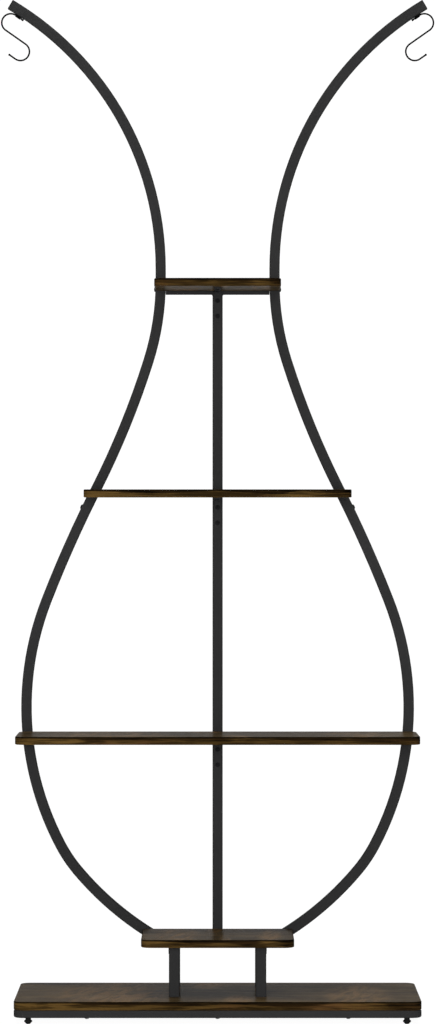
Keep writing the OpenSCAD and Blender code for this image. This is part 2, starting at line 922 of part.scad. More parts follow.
module shelf_bracket(z) {
    r_out = bracket_bend + bracket_t;
    color(steel)
        difference() {
            translate([-bracket_w / 2, frame_front, z])
                rotate([90, 0, 90])
                    linear_extrude(bracket_w) {
                        translate([-bracket_reach, -bracket_t])
                            square([bracket_reach - r_out, bracket_t]);
                        translate([-bracket_t, -bracket_drop])
                            square([bracket_t, bracket_drop - r_out]);
                        translate([-r_out, -r_out])
                            difference() {
                                intersection() {
                                    circle(r_out);
                                    square(r_out);
                                }
                                circle(bracket_bend);
                            }
                    }
            bracket_bolt_places()
                rotate([90, 0, 0])
                    shank_hole(bolt_d, 2 * bracket_t);
            for (t = bracket_screw_steps)
                translate([0, frame_front - t * bracket_reach, z])
                    shank_hole(screw_d, 2 * bracket_t);
        }
}

module bracket_bolts() {
    color(black)
        bracket_bolt_places()
            translate([0, -bracket_t, 0])
                rotate([90, 0, 0])
                    button_bolt(bolt_d, bracket_t + 2 * tube_wall + slip_gap + nut_h + bolt_past);
}

// Nuts welded inside the post's front wall, or inside the sleeve where that is doubled
module bracket_nuts() {
    color(zinc)
        for (z = [shelf_1_z, shelf_2_z, shelf_3_z], i = [0, 1]) {
            inner = z == shelf_2_z ? 2 * tube_wall + slip_gap : tube_wall;
            translate([0, frame_front + inner, z - bracket_bolt_z - i * bracket_bolt_pitch])
                rotate([-90, 0, 0])
                    hex_nut();
        }
}

module bracket_screws() {
    color(black)
        for (z = [shelf_1_z, shelf_2_z, shelf_3_z], t = bracket_screw_steps)
            translate([0, frame_front - t * bracket_reach, z - bracket_t])
                mirror([0, 0, 1])
                    wood_screw(bracket_t + screw_bite);
}

// Long screws from behind, through the frame and into the back edges of shelves 1 to 3,
// as [x, z] of each one on the right and in the middle
edge_screw_places = [
    [neck_screw_x, edge_screw_1_z],
    [side_x(edge_screw_2_z), edge_screw_2_z],
    [0, edge_screw_2_z],
    [side_x(edge_screw_3_z), edge_screw_3_z]
];

module at_edge_screws() {
    for (p = edge_screw_places, side = p[0] > 0 ? [-1, 1] : [1])
        translate([side * p[0], frame_back, p[1]])
            rotate([-90, 0, 0])
                children();
}

module edge_screws() {
    color(black)
        at_edge_screws()
            wood_screw(tube_w + edge_bite);
}

// Shelves whose back edges meet the front of the frame
module framed_shelf(w, z) {
    color(wood)
        difference() {
            translate([0, frame_front - shelf_d / 2, z])
                board(w, shelf_d, board_t);
            for (t = bracket_screw_steps)
                translate([0, frame_front - t * bracket_reach, z])
                    shank_hole(screw_d, screw_bite + hole_deeper);
            at_edge_screws()
                shank_hole(screw_d, tube_w + edge_bite + hole_deeper);
        }
}

module shelf_4() {
    color(wood)
        difference() {
            translate([0, frame_front - shelf_4_d / 2, shelf_4_z])
                board(shelf_4_w, shelf_4_d, board_t);
            shelf_4_screw_places()
                translate([0, 0, tube_w])
                    shank_hole(screw_d, screw_bite + hole_deeper);
        }
}

module shelf_4_screws() {
    color(zinc)
        shelf_4_screw_places()
            mirror([0, 0, 1])
                wood_screw(tube_w + screw_bite);
}

// The hook turns about its straight upper end, which leans away from the arm a little. This
// puts the child on that end's middle, with +X towards the arm's open end
module on_hook_axis() {
    on_arm(hook_mid_turn, clip_r)
        rotate([0, -hook_lean, 0])
            children();
}

// Clip under the arm's end: a foot along the arm, and a block with a bore for the hook
// How far the clip's block reaches past its bore's walls on each side
clip_wing = 1;
clip_w = wire_d + 2 * clip_t + 2 * clip_wing;
clip_foot_t = wire_drop - wire_d / 2 - seat_gap - move_gap;

module hook_clip() {
    half = hook_top / 2;
    block_top = wire_drop - half * tan(hook_lean) - half * half / 2 / arm_r - seat_gap - eps;
    foot_from = hook_mid_turn - (half - hook_ball_d / 2 - move_gap) / arm_r * 180 / PI;
    foot_to = hook_turn - 1.5 * clip_wing / arm_r * 180 / PI;
    foot_w = clip_w - clip_wing;
    color(black)
        difference() {
            union() {
                on_hook_axis()
                    translate([half - clip_len, -clip_w / 2, -wire_d / 2 - clip_t])
                        cube([clip_len, clip_w, wire_d / 2 + clip_t + block_top]);
                along_arm(tidy_angle(foot_from), tidy_angle(foot_to))
                    translate([-tube_w / 2 - seat_gap - clip_foot_t, -foot_w / 2])
                        square([clip_foot_t, foot_w]);
            }
            on_hook_axis()
                translate([half - clip_len - cut, 0, 0])
                    rotate([0, 90, 0])
                        cylinder(d = wire_d + 2 * turn_gap, h = clip_len + 2 * cut);
        }
}

// Wire hook shaped like an S, drawn in its own plane from the ball under the arm
module hook() {
    module quarter_turn() {
        rotate_extrude(angle = 180)
            translate([hook_r, 0])
                circle(d = wire_d);
    }
    module wire(length) {
        rotate([0, 90, 0])
            cylinder(d = wire_d, h = length);
    }
    module hook_ball() {
        sphere(d = hook_ball_d);
    }
    color(black)
        on_hook_axis()
            rotate([-90, 0, 0]) {
                translate([-hook_top / 2, 0, 0]) {
                    hook_ball();
                    wire(hook_top);
                }
                translate([hook_top / 2, hook_r, 0])
                    rotate([0, 0, -90])
                        quarter_turn();
                translate([hook_top / 2 - hook_mid, 2 * hook_r, 0])
                    wire(hook_mid);
                translate([hook_top / 2 - hook_mid, 3 * hook_r, 0])
                    rotate([0, 0, 90])
                        quarter_turn();
                translate([hook_top / 2 - hook_mid, 4 * hook_r, 0]) {
                    wire(hook_tip);
                    translate([hook_tip, 0, 0])
                        hook_ball();
                }
            }
}

base_board();
base_rim();
left() base_bar();  // base_bar_left
base_bar();  // base_bar_right
corner_plates();
foot_nuts();
base_screws();
leg_bolts();
tube_plugs();
foot_pad(feet[0]);  // foot_pad_front_left
foot_pad(feet[1]);  // foot_pad_front_right
foot_pad(feet[2]);  // foot_pad_rear_left
foot_pad(feet[3]);  // foot_pad_rear_right
foot_stud(feet[0]);  // foot_stud_front_left
foot_stud(feet[1]);  // foot_stud_front_right
foot_stud(feet[2]);  // foot_stud_rear_left
foot_stud(feet[3]);  // foot_stud_rear_right
left() leg(front_leg_y, leg_h);  // front_leg_left
leg(front_leg_y, leg_h);  // front_leg_right
left() leg(frame_y, leg_h - tube_w);  // rear_leg_left
leg(frame_y, leg_h - tube_w);  // rear_leg_right
left() side_rail();  // side_rail_left
side_rail();  // side_rail_right
lower_crossbar();
shelf_4();
shelf_4_screws();
left() corner_connector();  // corner_connector_left
corner_connector();  // corner_connector_right
connector_bolts();
left() lower_tube();  // lower_tube_left
lower_tube();  // lower_tube_right
left() joint_sleeve();  // joint_sleeve_left
joint_sleeve();  // joint_sleeve_right
joint_bolts();
joint_nuts();
left() upper_tube();  // upper_tube_left
upper_tube();  // upper_tube_right
left() arm_cap();  // arm_cap_left
arm_cap();  // arm_cap_right
neck_crossbar();
neck_bolts();
lower_post();
upper_post();
post_sleeve();
post_bolt();
shelf_bracket(shelf_1_z);  // shelf_bracket_1
shelf_bracket(shelf_2_z);  // shelf_bracket_2
shelf_bracket(shelf_3_z);  // shelf_bracket_3
bracket_bolts();
bracket_nuts();
bracket_screws();
framed_shelf(shelf_1_w, shelf_1_z);  // shelf_1
framed_shelf(shelf_2_w, shelf_2_z);  // shelf_2
framed_shelf(shelf_3_w, shelf_3_z);  // shelf_3
edge_screws();
left() hook_clip();  // hook_clip_left
hook_clip();  // hook_clip_right
left() hook();  // hook_left
hook();  // hook_right
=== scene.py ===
# %% [markdown]
# # A tiered plant stand
# The stand is a vase-shaped frame of bent square tube on a low base, with wooden boards at
# stepped heights and a wire hook under the end of each arm. The exact CAD model is loaded as
# the frame. This lesson adds its materials, the pieces that are easier to model here (screw
# threads and weld beads), a pale studio and a camera at the photograph's place.

import json
import math

import bpy
from mathutils import Matrix, Vector


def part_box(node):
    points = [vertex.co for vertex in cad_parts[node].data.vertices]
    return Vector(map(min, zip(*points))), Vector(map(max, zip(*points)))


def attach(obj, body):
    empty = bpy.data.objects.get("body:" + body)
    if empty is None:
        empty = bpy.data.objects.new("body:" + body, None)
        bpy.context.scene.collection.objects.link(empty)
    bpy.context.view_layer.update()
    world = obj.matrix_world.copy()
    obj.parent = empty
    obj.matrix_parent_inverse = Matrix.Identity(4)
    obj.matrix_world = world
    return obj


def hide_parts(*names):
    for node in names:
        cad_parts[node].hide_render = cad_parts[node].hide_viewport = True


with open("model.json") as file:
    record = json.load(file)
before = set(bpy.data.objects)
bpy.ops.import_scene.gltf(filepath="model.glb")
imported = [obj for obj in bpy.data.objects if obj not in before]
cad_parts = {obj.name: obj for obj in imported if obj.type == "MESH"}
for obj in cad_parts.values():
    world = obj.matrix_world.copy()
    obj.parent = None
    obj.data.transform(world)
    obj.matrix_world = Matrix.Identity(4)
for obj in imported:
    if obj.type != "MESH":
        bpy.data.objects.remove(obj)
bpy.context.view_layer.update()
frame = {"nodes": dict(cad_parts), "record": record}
record = frame["record"]
print("loaded", len(frame["nodes"]), "pieces of CAD")

# %% [markdown]
# ## Real sizes
# Everything is in metres, in the CAD model's own frame: +X to the right, +Y to the back, +Z up,
# with the origin on the floor under the middle of the base. The widths of the stud and of the
# tubes could be typed here again. They are read from the boxes of the CAD pieces instead, so
# the new pieces stay true to the model when it changes.

# %% Read sizes from the CAD pieces
MM = 0.001
stud_low, stud_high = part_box("foot_stud_front_left")
STUD_RADIUS = (stud_high.x - stud_low.x) / 2
post_low, post_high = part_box("upper_post")
TUBE = post_high.x - post_low.x
bar_low, bar_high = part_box("base_bar_right")
BAR = bar_high.x - bar_low.x
print("tube", round(TUBE / MM, 2), "mm, stud", round(2 * STUD_RADIUS / MM, 2), "mm")

# %% [markdown]
# ## Camera
# The photograph shows the stand from the front, at about half its height. A camera could be
# aimed by eye. This one was fitted to the shelves, because how much of their tops and undersides
# shows depends on its height and distance. It stands level, 1.027 m above the floor and 7.44 m
# in front of the base. The sensor's 36 mm lie along the picture's long side. The horizon is a
# little above the picture's middle, which is a small vertical shift of the lens and not a tilt.

# %% Place the camera
PICTURE_W, PICTURE_H = 435, 1024
FOCAL_PX = 3803.1
HORIZON_PX = 501.0
MIDDLE_PX = 217.6
CAMERA_PLACE = Vector((0.0, -7.59, 1.027))
SENSOR_MM = 36
VIEW_END = 60

bpy.ops.object.camera_add(location=CAMERA_PLACE, rotation=(math.radians(90), 0, 0))
camera = bpy.context.object
camera.name = "photo_camera"
camera.data.sensor_width = SENSOR_MM
camera.data.lens = FOCAL_PX * SENSOR_MM / PICTURE_H
camera.data.shift_x = (PICTURE_W / 2 - MIDDLE_PX) / PICTURE_H
camera.data.shift_y = (HORIZON_PX - PICTURE_H / 2) / PICTURE_H
camera.data.clip_end = VIEW_END
bpy.context.scene.camera = camera
print("lens", round(camera.data.lens, 1), "mm")

# %% [markdown]
# ## Helpers for shader nodes
# Every finish here is a network of nodes, which could be laid out by hand in the shader editor.
# In code, two helpers keep it short. `add` makes a node, sets its properties and inputs, and
# links any input that is given another node's output. `new_group` makes a node group with named
# inputs and outputs, so that one finish can serve several materials.


# %% Define how nodes and groups are made
def add(tree, kind, inputs=None, **settings):
    node = tree.nodes.new(kind)
    for key, value in settings.items():
        setattr(node, key, value)
    for key, value in (inputs or {}).items():
        if isinstance(value, bpy.types.NodeSocket):
            tree.links.new(value, node.inputs[key])
        else:
            node.inputs[key].default_value = value
    return node


def new_group(name, inputs, outputs):
    tree = bpy.data.node_groups.new(name, "ShaderNodeTree")
    for label, value in inputs:
        socket = tree.interface.new_socket(label, in_out="INPUT", socket_type="NodeSocketFloat")
        socket.default_value = value
    for label, kind in outputs:
        tree.interface.new_socket(label, in_out="OUTPUT", socket_type=kind)
    return tree, add(tree, "NodeGroupInput").outputs, add(tree, "NodeGroupOutput")


print("helpers: add, new_group")

# %% [markdown]
# Most nodes below do one of five jobs, so each job has a helper that gives back its result: a
# ramp of colours, a cloudy noise, one step of arithmetic, a soft step from one range to another,
# and a mix of two colours.

# %% Define the helpers for single nodes
# The Mix node keeps its sockets for colours at these places
COLOR_A, COLOR_B, COLOR_RESULT = 6, 7, 2


def ramp(tree, factor, stops):
    node = add(tree, "ShaderNodeValToRGB", {"Fac": factor})
    node.color_ramp.elements.remove(node.color_ramp.elements[1])
    node.color_ramp.elements[0].position = stops[0][0]
    node.color_ramp.elements[0].color = (*stops[0][1], 1)
    for place, color in stops[1:]:
        node.color_ramp.elements.new(place).color = (*color, 1)
    return node.outputs["Color"]


def noise(tree, point, scale, detail, roughness=0.55, distortion=0.0):
    inputs = {
        "Vector": point,
        "Scale": scale,
        "Detail": detail,
        "Roughness": roughness,
        "Distortion": distortion,
    }
    return add(tree, "ShaderNodeTexNoise", inputs).outputs["Fac"]


def math_node(tree, operation, *values):
    return add(tree, "ShaderNodeMath", dict(enumerate(values)), operation=operation).outputs[0]


def smooth_step(tree, value, low_end, high_end, to_low=0.0, to_high=1.0):
    inputs = {
        "Value": value,
        "From Min": low_end,
        "From Max": high_end,
        "To Min": to_low,
        "To Max": to_high,
    }
    node = add(tree, "ShaderNodeMapRange", inputs, interpolation_type="SMOOTHSTEP")
    return node.outputs["Result"]


def mix_color(tree, factor, a, b, blend="MIX"):
    inputs = {0: factor}
    for key, value in ((COLOR_A, a), (COLOR_B, b)):
        inputs[key] = value if isinstance(value, bpy.types.NodeSocket) else (*value, 1)
    node = add(tree, "ShaderNodeMix", inputs, data_type="RGBA", blend_type=blend)
    return node.outputs[COLOR_RESULT]


print("helpers: ramp, noise, math_node, smooth_step, mix_color")

# %% [markdown]
# ## Rustic wood
# Every board carries the same print of old, burnt wood under a thin lacquer. A photographed
# texture could be wrapped round each board. Noise patterns are used instead, because they have
# no seams, fit every board and stay sharp close up. All is worked out in shares of the board:
# `u` runs from -1 to 1 along it, `v` from -1 at the front to 1 at the back, and `height` from 0
# at the underside to 1 at the top. `on_side` is 1 on the edges and 0 on the two faces.

# %% Find the place on a board
BOARDS = ["base_board", "shelf_1", "shelf_2", "shelf_3", "shelf_4"]
# How upright a normal is where the edges end and where the faces begin, and the two results
SIDE_STEP = (0.80, 0.96, 1.0, 0.0)


def board_place(tree, given, place):
    x, y, z = add(tree, "ShaderNodeSeparateXYZ", {0: place}).outputs
    from_middle = math_node(tree, "SUBTRACT", y, given["Middle"])
    from_underside = math_node(tree, "SUBTRACT", z, given["Underside"])
    u = math_node(tree, "DIVIDE", x, given["Half Width"])
    v = math_node(tree, "DIVIDE", from_middle, given["Half Depth"])
    height = math_node(tree, "DIVIDE", from_underside, given["Thickness"])
    normal = add(tree, "ShaderNodeNewGeometry").outputs["Normal"]
    facing_z = add(tree, "ShaderNodeSeparateXYZ", {0: normal}).outputs["Z"]
    on_side = smooth_step(tree, math_node(tree, "ABSOLUTE", facing_z), *SIDE_STEP)
    return u, v, height, on_side


print("boards:", ", ".join(BOARDS))

# %% [markdown]
# The grain runs along a board, and on its edges it runs on round the rounded corners. Two
# patterns could be mixed there, one for the front and one for the ends, but the change would
# show as a seam. So the edges use one wrapped coordinate, the place along X plus the distance
# behind the front, which turns the corner without a step. Each board shifts the whole pattern
# by its own amount, so that no two boards look alike.

# %% Lay the grain round the corners
# The Mix node keeps its sockets for vectors at these places
VECTOR_A, VECTOR_B, VECTOR_RESULT = 4, 5, 1


def grain_point(tree, given, place, on_side):
    x, y, z = add(tree, "ShaderNodeSeparateXYZ", {0: place}).outputs
    front = math_node(tree, "SUBTRACT", given["Middle"], given["Half Depth"])
    past_front = math_node(tree, "ADD", x, math_node(tree, "SUBTRACT", y, front))
    wrapped = add(tree, "ShaderNodeCombineXYZ", {"X": past_front, "Y": front, "Z": z}).outputs[0]
    choice = {0: on_side, VECTOR_A: place, VECTOR_B: wrapped}
    along = add(tree, "ShaderNodeMix", choice, data_type="VECTOR").outputs[VECTOR_RESULT]
    shift = {"X": given["Shift"], "Y": given["Shift"], "Z": 0.0}
    apart = add(tree, "ShaderNodeCombineXYZ", shift).outputs[0]
    return add(tree, "ShaderNodeVectorMath", {0: along, 1: apart}, operation="ADD").outputs[0]


print("the grain is wrapped round the edges")

# %% [markdown]
# Six noises make the print. Streaks, flames and grain are drawn out along the board, and the
# grain is the finest. Bands and clouds change the tone of the faces slowly. The swirl is turned
# a little before it is drawn out, so that the tan strokes lie aslant.

# %% Build the noise patterns
# For each: scale along X, Y and Z, then detail, roughness and distortion
NOISES = {
    "streaks": ((5, 60, 130), 7, 0.60, 0.5),
    "flames": ((9, 100, 170), 5, 0.60, 0.8),
    "grain": ((22, 900, 900), 4, 0.60, 0.0),
    "swirl": ((34, 8, 8), 7, 0.66, 1.2),
    "bands": ((6, 26, 26), 6, 0.60, 0.6),
    "cloud": ((6, 9, 9), 4, 0.55, 0.4),
}
SWIRL_SLANT = 0.30


def wood_noises(tree, point):
    slant = {"Vector": point, "Rotation": (0, 0, SWIRL_SLANT)}
    slanted = add(tree, "ShaderNodeMapping", slant).outputs["Vector"]
    found = {}
    for name, (scale, detail, roughness, distortion) in NOISES.items():
        start = slanted if name == "swirl" else point
        drawn_out = add(tree, "ShaderNodeMapping", {"Vector": start, "Scale": scale})
        found[name] = noise(
            tree, drawn_out.outputs["Vector"], 1.0, detail, roughness, distortion
        )
    return found


print("noises:", ", ".join(NOISES))

# %% [markdown]
# ### The edges
# On the stand the edges show long golden flames under burnt wood, brightest at the left end and
# right of the middle, with painted shade along the top of each edge. One even noise could colour
# them, but it would spread the gold all over. So a ramp along the board sets how strongly it
# glows. The glow lifts a ragged line, with gold below it and burnt wood above it.

# %% Colour the edges
# How strongly the edges glow, from the board's left end at 0 to its right end at 1
GLOW_ALONG_EDGE = [
    (0.0, 1.0),
    (0.10, 0.86),
    (0.24, 0.52),
    (0.38, 0.30),
    (0.48, 0.44),
    (0.60, 0.30),
    (0.70, 0.22),
    (0.82, 0.86),
    (0.88, 0.62),
    (0.95, 0.26),
    (1.0, 0.34),
]
# The line's height and the gold's brightness: times the glow, then what is added
LINE_FROM_GLOW = (0.75, 0.30)
BRIGHT_FROM_GLOW = (0.85, 0.22)
# Steps: the two ends of what goes in, then what comes out at each
RAGGED_STEP = (0.3, 0.7, -0.45, 0.40)
GOLDEN_STEP = (-0.12, 0.20, 0.0, 1.0)
FLAME_STEP = (0.36, 0.64, 0.25, 1.35)
WARMTH_STEP = (0.50, 0.68, 0.0, 0.55)
# Painted shade: the top of every edge turns dark brown
PAINTED_TOP_SHADE_STEP = (0.76, 0.88, 0.0, 0.85)
# Colours, in linear light
GOLD_YELLOW = (0.126, 0.072, 0.020)
GOLD_RED = (0.132, 0.058, 0.024)
GOLD_DARK = (0.010, 0.006, 0.0022)
BURNT_RAMP = [(0.38, (0.003, 0.002, 0.0012)), (0.64, (0.034, 0.018, 0.006))]
# The dark brown of the painted shade along the top of each edge
PAINTED_TOP_SHADE_BROWN = (0.005, 0.0035, 0.002)


def edge_color(tree, given, u, height, noises):
    share = math_node(tree, "MULTIPLY_ADD", u, 0.5, 0.5)
    grey_stops = [(stop, (level, level, level)) for stop, level in GLOW_ALONG_EDGE]
    glow_color = add(tree, "ShaderNodeSeparateColor", {0: ramp(tree, share, grey_stops)})
    glow = math_node(tree, "MULTIPLY", glow_color.outputs["Red"], given["Glow"])
    line = math_node(tree, "MULTIPLY_ADD", glow, *LINE_FROM_GLOW)
    line = math_node(tree, "ADD", line, smooth_step(tree, noises["streaks"], *RAGGED_STEP))
    golden = smooth_step(tree, math_node(tree, "SUBTRACT", line, height), *GOLDEN_STEP)
    bright = math_node(tree, "MULTIPLY_ADD", glow, *BRIGHT_FROM_GLOW)
    flicker = smooth_step(tree, noises["flames"], *FLAME_STEP)
    warmth = smooth_step(tree, noises["cloud"], *WARMTH_STEP)
    light_wood = mix_color(tree, warmth, GOLD_YELLOW, GOLD_RED)
    gold = mix_color(tree, math_node(tree, "MULTIPLY", bright, flicker), GOLD_DARK, light_wood)
    edge = mix_color(tree, golden, ramp(tree, noises["flames"], BURNT_RAMP), gold)
    # Painted shade darkens the top of each edge
    return mix_color(tree, smooth_step(tree, height, *PAINTED_TOP_SHADE_STEP), edge, PAINTED_TOP_SHADE_BROWN)


print("the glow along an edge has", len(GLOW_ALONG_EDGE), "stops")

# %% [markdown]
# ### The faces
# The upper faces are grey brown with fine streaks, and tan strokes swirl near the left end,
# right of the middle and at the front. Masks could be painted by hand for these patches. Soft
# round spots are enough, because the swirl breaks up their outlines.

# %% Colour the faces
# Middle along and across, then reach along and across, where 1 is half a board
TAN_PATCHES = [
    (-0.53, -0.2, 0.36, 1.5),
    (0.69, -0.3, 0.20, 1.3),
    (0.10, -0.8, 0.09, 0.6),
    (-0.05, 0.7, 0.12, 0.5),
]
PATCH_STEP = (0.0, 1.0, 1.0, 0.0)
STROKE_STEP = (0.40, 0.62, 0.14, 0.84)
BANDS_SHARE = 0.7
FACE_RAMP = [
    (0.38, (0.036, 0.0225, 0.0086)),
    (0.50, (0.082, 0.0530, 0.0215)),
    (0.62, (0.138, 0.0920, 0.0405)),
]
TAN = (0.265, 0.155, 0.062)


def soft_spot(tree, u, v, middle_u, middle_v, reach_u, reach_v):
    du = math_node(tree, "DIVIDE", math_node(tree, "SUBTRACT", u, middle_u), reach_u)
    dv = math_node(tree, "DIVIDE", math_node(tree, "SUBTRACT", v, middle_v), reach_v)
    du_squared = math_node(tree, "MULTIPLY", du, du)
    dv_squared = math_node(tree, "MULTIPLY", dv, dv)
    return smooth_step(tree, math_node(tree, "ADD", du_squared, dv_squared), *PATCH_STEP)


def face_color(tree, u, v, noises):
    bands_over_cloud = math_node(tree, "SUBTRACT", noises["bands"], noises["cloud"])
    tone = math_node(tree, "MULTIPLY_ADD", bands_over_cloud, BANDS_SHARE, noises["cloud"])
    patches = soft_spot(tree, u, v, *TAN_PATCHES[0])
    for spot in TAN_PATCHES[1:]:
        patches = math_node(tree, "MAXIMUM", patches, soft_spot(tree, u, v, *spot))
    strokes = smooth_step(tree, noises["swirl"], *STROKE_STEP)
    tan_share = math_node(tree, "MULTIPLY", patches, strokes)
    return mix_color(tree, tan_share, ramp(tree, tone, FACE_RAMP), TAN)


print("the faces have", len(TAN_PATCHES), "tan patches")

# %% [markdown]
# ### The whole board
# One group joins edges and faces, so that all five boards share it. The fine grain darkens and
# lightens the colour, changes the gloss and gives most of the relief. The lacquer is a thin
# coat on the faces only, because the edges of the real boards look dull.

# %% Put the wood together
FINE_STEP = (0.35, 0.65, 0.86, 1.10)
ROUGH_STEP = (0.3, 0.7, 0.26, 0.38)
LACQUER_STEP = (0.35, 0.65, 0.080, 0.125)
STREAKS_RELIEF = 0.4
WOOD_INPUTS = [
    ("Half Width", 0.4),
    ("Middle", 0.0),
    ("Half Depth", 0.15),
    ("Underside", 0.0),
    ("Thickness", 0.016),
    ("Shift", 0.0),
    ("Glow", 1.0),
]
SURFACE_OUTPUTS = [
    ("Base Color", "NodeSocketColor"),
    ("Roughness", "NodeSocketFloat"),
    ("Bump Height", "NodeSocketFloat"),
]
WOOD_OUTPUTS = SURFACE_OUTPUTS + [("Coat Weight", "NodeSocketFloat")]


def build_wood():
    tree, given, out = new_group("rustic_wood", WOOD_INPUTS, WOOD_OUTPUTS)
    place = add(tree, "ShaderNodeTexCoord").outputs["Object"]
    u, v, height, on_side = board_place(tree, given, place)
    noises = wood_noises(tree, grain_point(tree, given, place, on_side))
    face = face_color(tree, u, v, noises)
    edge = edge_color(tree, given, u, height, noises)
    fine = smooth_step(tree, noises["grain"], *FINE_STEP)
    fine_grey = {"Red": fine, "Green": fine, "Blue": fine}
    fine_color = add(tree, "ShaderNodeCombineColor", fine_grey).outputs[0]
    body = mix_color(tree, 1.0, mix_color(tree, on_side, face, edge), fine_color, "MULTIPLY")
    rough = smooth_step(tree, noises["grain"], *ROUGH_STEP)
    lacquer = smooth_step(tree, noises["streaks"], *LACQUER_STEP)
    on_face = math_node(tree, "SUBTRACT", 1.0, on_side)
    streaks_relief = math_node(tree, "MULTIPLY", noises["streaks"], STREAKS_RELIEF)
    relief = math_node(tree, "ADD", noises["grain"], streaks_relief)
    tree.links.new(body, out.inputs["Base Color"])
    tree.links.new(rough, out.inputs["Roughness"])
    tree.links.new(math_node(tree, "MULTIPLY", lacquer, on_face), out.inputs["Coat Weight"])
    tree.links.new(relief, out.inputs["Bump Height"])
    return tree


wood_group = build_wood()
print("wood group has", len(wood_group.nodes), "nodes")

# %% [markdown]
# ## Dark coats
# The frame's powder coat is matt black with a fine texture like orange peel and faint dust. The
# black bolts, the moulded plastic and the coated wire are dark in the same way, each with its
# own tone, gloss and texture. The bolts are darker than the frame, partly for their black oxide
# and partly as painted shade on their heads. The texture could be modelled in the mesh, but it
# is finer than a millimetre, and a bump in the shading does the same with no extra faces.

# %% Build the dark coats
# Clouds of dust about 11 cm apart, where they are darkest and lightest
DUST_SCALE = 9.0
DUST_DARK, DUST_LIGHT = 0.35, 0.70
ROUGH_ENDS = (0.3, 0.7)


def build_coat(name, dark, light, rough, peel_scale):
    tree, _, out = new_group(name, [], SURFACE_OUTPUTS)
    point = add(tree, "ShaderNodeTexCoord").outputs["Object"]
    peel = noise(tree, point, peel_scale, 3, 0.5)
    dust = noise(tree, point, DUST_SCALE, 4, 0.6)
    color = ramp(tree, dust, [(DUST_DARK, dark), (DUST_LIGHT, light)])
    tree.links.new(color, out.inputs["Base Color"])
    tree.links.new(smooth_step(tree, dust, *ROUGH_ENDS, *rough), out.inputs["Roughness"])
    tree.links.new(peel, out.inputs["Bump Height"])
    return tree


coat_group = build_coat(
    "powder_coat",
    dark=(0.0315, 0.0315, 0.0320),
    light=(0.0365, 0.0365, 0.0370),
    rough=(0.52, 0.64),
    peel_scale=1600.0,
)
# Black oxide, darker than the frame: partly the oxide's own tone, partly painted shade on the bolt
# heads
bolt_oxide_and_shade_group = build_coat(
    "black_oxide_and_painted_shade",
    dark=(0.013, 0.013, 0.014),
    light=(0.018, 0.018, 0.019),
    rough=(0.40, 0.52),
    peel_scale=2600.0,
)
plastic_group = build_coat(
    "moulded_plastic",
    dark=(0.016, 0.016, 0.016),
    light=(0.021, 0.021, 0.021),
    rough=(0.52, 0.66),
    peel_scale=3200.0,
)
wire_group = build_coat(
    "coated_wire",
    dark=(0.003, 0.003, 0.003),
    light=(0.005, 0.005, 0.005),
    rough=(0.34, 0.42),
    peel_scale=1200.0,
)
print("dark coats: frame, bolts, plastic, wire")

# %% [markdown]
# ## Zinc
# Studs, sleeves, nuts and the hidden bolts and screws are zinc plated, which shows small
# crystals. A single grey would do from afar. Voronoi cells of about a millimetre give each
# crystal its own tone, and a wider haze changes the gloss, so that the studs also look right
# close up.

# %% Build the zinc
CRYSTAL_SCALE = 900.0
HAZE_SCALE = 60.0
ZINC_TONES = [(0.0, (0.50, 0.51, 0.53)), (1.0, (0.66, 0.67, 0.69))]
ZINC_ROUGH = (0.28, 0.42)


def build_zinc():
    tree, _, out = new_group("zinc_plate", [], SURFACE_OUTPUTS)
    point = add(tree, "ShaderNodeTexCoord").outputs["Object"]
    crystals = add(tree, "ShaderNodeTexVoronoi", {"Vector": point, "Scale": CRYSTAL_SCALE})
    split = add(tree, "ShaderNodeSeparateColor", {0: crystals.outputs["Color"]})
    tone = split.outputs["Red"]
    haze = noise(tree, point, HAZE_SCALE, 4)
    tree.links.new(ramp(tree, tone, ZINC_TONES), out.inputs["Base Color"])
    tree.links.new(smooth_step(tree, haze, *ROUGH_ENDS, *ZINC_ROUGH), out.inputs["Roughness"])
    tree.links.new(tone, out.inputs["Bump Height"])
    return tree


zinc_group = build_zinc()
print("node groups:", len(bpy.data.node_groups))

# %% [markdown]
# ## Materials from the groups
# A material joins one group to the Principled shader. The group gives what changes over the
# surface. What is the same all over, such as the specular level, is set on the shader itself,
# where other programs can read it. The group's relief goes through a Bump node, which changes
# the shading and not the shape.


# %% Make a material for each slot
def principled(name, group=None, bump=0.0, bump_distance=0.0, **values):
    material = bpy.data.materials.new(name)
    material.use_nodes = True
    tree = material.node_tree
    shader = tree.nodes["Principled BSDF"]
    for key, value in values.items():
        shader.inputs[key.replace("_", " ")].default_value = value
    if group is None:
        return material, None
    box = add(tree, "ShaderNodeGroup", node_tree=group)
    for output in box.outputs:
        if output.name != "Bump Height":
            tree.links.new(output, shader.inputs[output.name])
    inputs = {"Height": box.outputs["Bump Height"], "Strength": bump, "Distance": bump_distance}
    lift = add(tree, "ShaderNodeBump", inputs)
    tree.links.new(lift.outputs["Normal"], shader.inputs["Normal"])
    return material, box


# For each slot: group, strength and height of the relief, and what is the same all over
SURFACES = {
    "frame_steel": (coat_group, 0.12, 0.2 * MM, {"Specular_IOR_Level": 0.10}),
    "black_bolts": (bolt_oxide_and_shade_group, 0.10, 0.2 * MM, {"Specular_IOR_Level": 0.04}),
    "zinc_steel": (zinc_group, 0.05, 0.1 * MM, {"Metallic": 1.0}),
    "black_plastic": (plastic_group, 0.15, 0.2 * MM, {"Specular_IOR_Level": 0.08}),
    "hook_wire": (wire_group, 0.05, 0.2 * MM, {"Specular_IOR_Level": 0.03}),
}
slot_materials = {}
for slot, (group, bump, relief, values) in SURFACES.items():
    slot_materials[slot], _ = principled(slot, group, bump, relief, **values)
print("slots:", ", ".join(slot_materials))

# %% [markdown]
# ## Give every CAD piece its material
# The record names a material slot for each piece. The boards could share one material, but then
# they would all show the same print. So each board has its own, which tells the wood group where
# the board lies, how far its pattern is shifted and how strongly its edges glow.

